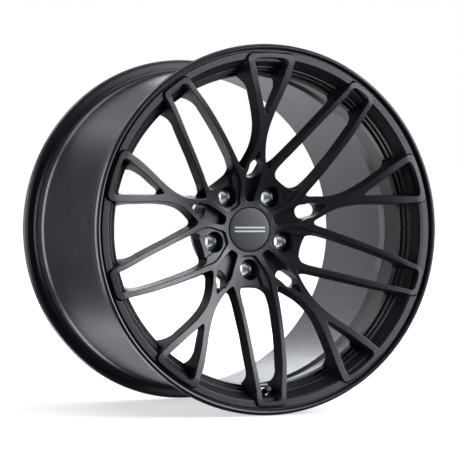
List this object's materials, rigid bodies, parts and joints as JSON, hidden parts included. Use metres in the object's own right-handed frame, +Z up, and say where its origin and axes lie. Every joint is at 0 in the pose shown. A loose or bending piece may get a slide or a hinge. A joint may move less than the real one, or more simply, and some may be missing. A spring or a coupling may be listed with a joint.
{
  "type": "wheel rim",
  "caption": "Deep forged road wheel: a concave centre of U and Y shaped spoke loops set in a wide rim barrel, with cap and tyre valve.",
  "frame": {"origin": "centre of the wheel: on its axis, midway between the front and rear lips", "axes": "Y along the wheel's axis with the outboard face looking to -Y, Z up, X to the right seen from the outboard side; the valve is at the bottom"},
  "size_m": [0.5176, 0.3336, 0.5176],
  "materials": {
    "centre_paint": "forged aluminium with satin dark grey paint",
    "rim_paint": "forged aluminium with satin dark grey paint",
    "bare_steel": "machined",
    "cap_satin": "satin dark grey paint",
    "spring_steel": "drawn wire",
    "badge_grey": "satin",
    "anodised_black": "black anodised",
    "core_brass": "turned",
    "black_rubber": "matt",
    "nut_bright": "bright zinc",
    "cap_black_plastic": "matt moulded",
    "spring_wire": "drawn wire"
  },
  "bodies": {
    "wheel": {"forged_centre": "centre_paint", "rim_barrel": "rim_paint", "lug_seat_1": "bare_steel", "lug_seat_2": "bare_steel", "lug_seat_3": "bare_steel", "lug_seat_4": "bare_steel", "lug_seat_5": "bare_steel", "valve_stem": "anodised_black", "valve_grommet": "black_rubber", "valve_washer": "nut_bright", "valve_nut": "nut_bright", "valve_core_body": "core_brass", "valve_core_spring": "spring_wire"},
    "centre_cap": {"cap_shell": "cap_satin", "cap_spring_ring": "spring_steel", "cap_badge_upper": "badge_grey", "cap_badge_lower": "badge_grey"},
    "valve_cap_travel": {"valve_cap_seal": "black_rubber"},
    "valve_cap_turn": {"valve_cap": "cap_black_plastic"},
    "valve_pin": {"valve_core_pin": "core_brass", "valve_core_gasket": "black_rubber"}
  },
  "joints": [
    {"name": "centre_cap_pull", "type": "slide", "parent": "wheel", "child": "centre_cap", "axis": [0, -1, 0], "range_m": [0, 0.03]},
    {"name": "valve_cap_lift", "type": "slide", "parent": "wheel", "child": "valve_cap_travel", "axis": [0, -0.9397, 0.342], "range_m": [0, 0.008]},
    {"name": "valve_cap_unscrew", "type": "hinge", "parent": "valve_cap_travel", "child": "valve_cap_turn", "pos_m": [0, -0.118, -0.235], "axis": [0, -0.9397, 0.342], "range_deg": [0, 3635]},
    {"name": "valve_pin_press", "type": "slide", "parent": "wheel", "child": "valve_pin", "axis": [0, 0.9397, -0.342], "range_m": [0, 0.0012], "stiffness_N_per_m": 600, "springref_m": -0.001}
  ],
  "couplings": [
    {"joint": "valve_cap_unscrew", "follows": "valve_cap_lift", "rad_per_m": 7916}
  ]
}
